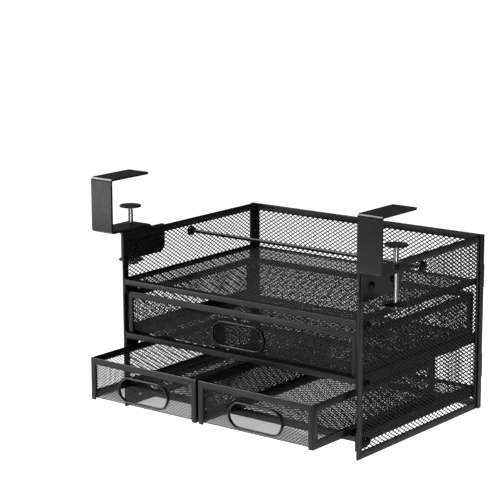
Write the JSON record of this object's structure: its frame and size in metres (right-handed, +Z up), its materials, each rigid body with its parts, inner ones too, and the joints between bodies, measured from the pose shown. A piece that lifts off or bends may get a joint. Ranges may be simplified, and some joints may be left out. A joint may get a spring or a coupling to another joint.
{
  "type": "under desk drawer",
  "caption": "Black steel mesh organiser that hangs under a desk edge on screw clamps, with pull-out drawers below an open shelf.",
  "frame": {"origin": "under the middle of the whole part at its lowest point, with the drawers as stored", "axes": "+X to the right seen from the front, +Y from the drawer fronts to the back, +Z up"},
  "size_m": [0.41, 0.3264, 0.276],
  "materials": {
    "black_frame": "black powder coat, satin",
    "black_mesh": "black powder coated expanded steel",
    "black_hardware": "black coated screws",
    "black_knob": "moulded black plastic",
    "zinc": "bright zinc plated"
  },
  "bodies": {
    "cabinet": {"side_frame_left": "black_frame", "side_frame_right": "black_frame", "side_mesh_left": "black_mesh", "side_mesh_right": "black_mesh", "back_frame": "black_frame", "back_mesh": "black_mesh", "tray_frame_top": "black_frame", "tray_frame_middle": "black_frame", "tray_frame_bottom": "black_frame", "tray_mesh_top": "black_mesh", "tray_mesh_middle": "black_mesh", "tray_mesh_bottom": "black_mesh", "tie_rod": "black_frame", "tie_rod_screw_left": "black_hardware", "tie_rod_screw_right": "black_hardware", "tray_bolt_top_left": "black_hardware", "tray_bolt_middle_left": "black_hardware", "tray_bolt_bottom_left": "black_hardware", "clamp_bracket_left": "black_frame", "clamp_bolt_front_left": "black_hardware", "clamp_bolt_rear_left": "black_hardware", "weld_nut_left": "zinc", "tray_bolt_top_right": "black_hardware", "tray_bolt_middle_right": "black_hardware", "tray_bolt_bottom_right": "black_hardware", "clamp_bracket_right": "black_frame", "clamp_bolt_front_right": "black_hardware", "clamp_bolt_rear_right": "black_hardware", "weld_nut_right": "zinc"},
    "wide_drawer": {"wide_drawer_frame": "black_frame", "wide_drawer_mesh": "black_mesh", "wide_drawer_side_mesh_left": "black_mesh", "wide_drawer_side_mesh_right": "black_mesh", "wide_drawer_pull_ring": "black_frame"},
    "left_drawer": {"left_drawer_frame": "black_frame", "left_drawer_mesh": "black_mesh", "left_drawer_side_mesh_left": "black_mesh", "left_drawer_side_mesh_right": "black_mesh", "left_drawer_pull_ring": "black_frame"},
    "right_drawer": {"right_drawer_frame": "black_frame", "right_drawer_mesh": "black_mesh", "right_drawer_side_mesh_left": "black_mesh", "right_drawer_side_mesh_right": "black_mesh", "right_drawer_pull_ring": "black_frame"},
    "pad_left": {"clamp_pad_left": "black_knob"},
    "screw_left": {"clamp_screw_left": "zinc", "clamp_knob_left": "black_knob"},
    "pad_right": {"clamp_pad_right": "black_knob"},
    "screw_right": {"clamp_screw_right": "zinc", "clamp_knob_right": "black_knob"}
  },
  "joints": [
    {"name": "wide_drawer_slide", "type": "slide", "parent": "cabinet", "child": "wide_drawer", "axis": [0, -1, 0], "range_m": [0, 0.17]},
    {"name": "left_drawer_slide", "type": "slide", "parent": "cabinet", "child": "left_drawer", "axis": [0, -1, 0], "range_m": [-0.072, 0.098]},
    {"name": "right_drawer_slide", "type": "slide", "parent": "cabinet", "child": "right_drawer", "axis": [0, -1, 0], "range_m": [-0.072, 0.098]},
    {"name": "pad_left_slide", "type": "slide", "parent": "cabinet", "child": "pad_left", "axis": [0, 0, 1], "range_m": [-0.018, 0.034]},
    {"name": "screw_left_turn", "type": "hinge", "parent": "pad_left", "child": "screw_left", "pos_m": [-0.1895, -0.05545, 0.17], "axis": [0, 0, 1], "range_deg": [-6490, 12250]},
    {"name": "pad_right_slide", "type": "slide", "parent": "cabinet", "child": "pad_right", "axis": [0, 0, 1], "range_m": [-0.018, 0.034]},
    {"name": "screw_right_turn", "type": "hinge", "parent": "pad_right", "child": "screw_right", "pos_m": [0.1895, -0.05545, 0.17], "axis": [0, 0, 1], "range_deg": [-6490, 12250]}
  ],
  "couplings": [
    {"joint": "screw_left_turn", "follows": "pad_left_slide", "rad_per_m": 6283.2},
    {"joint": "screw_right_turn", "follows": "pad_right_slide", "rad_per_m": 6283.2}
  ]
}
